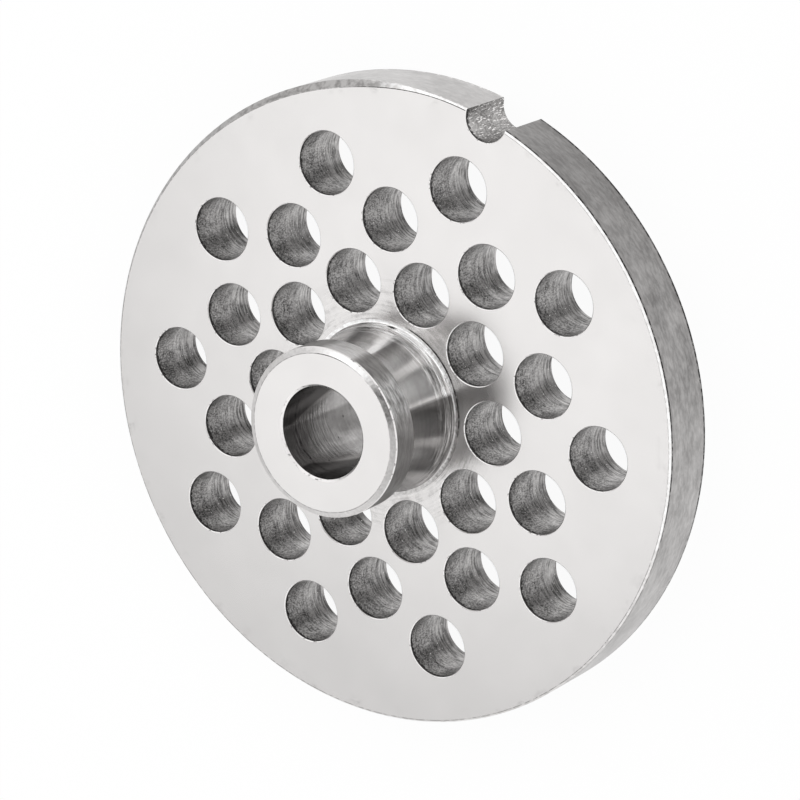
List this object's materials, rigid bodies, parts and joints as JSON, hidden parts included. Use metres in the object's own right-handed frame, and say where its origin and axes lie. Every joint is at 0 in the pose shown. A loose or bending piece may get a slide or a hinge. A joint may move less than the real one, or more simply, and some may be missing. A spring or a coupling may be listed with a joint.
{
  "type": "meat grinder plate",
  "caption": "Round flat steel grinder plate drilled with rings of feed holes, with a bored hub standing up from its centre and a half-round keyway cut down its rim.",
  "frame": {"origin": "centre of the flat rear face, on the bore's axis", "axes": "+Z along the bore axis, from the rear face towards the end of the hub; +Y towards the keyway in the rim and the row of holes beside it"},
  "size_m": [0.0984, 0.0983, 0.0266],
  "materials": {
    "stainless_steel": "turned and surface ground, satin"
  },
  "bodies": {
    "root": {"grinder_plate": "stainless_steel"}
  },
  "joints": []
}
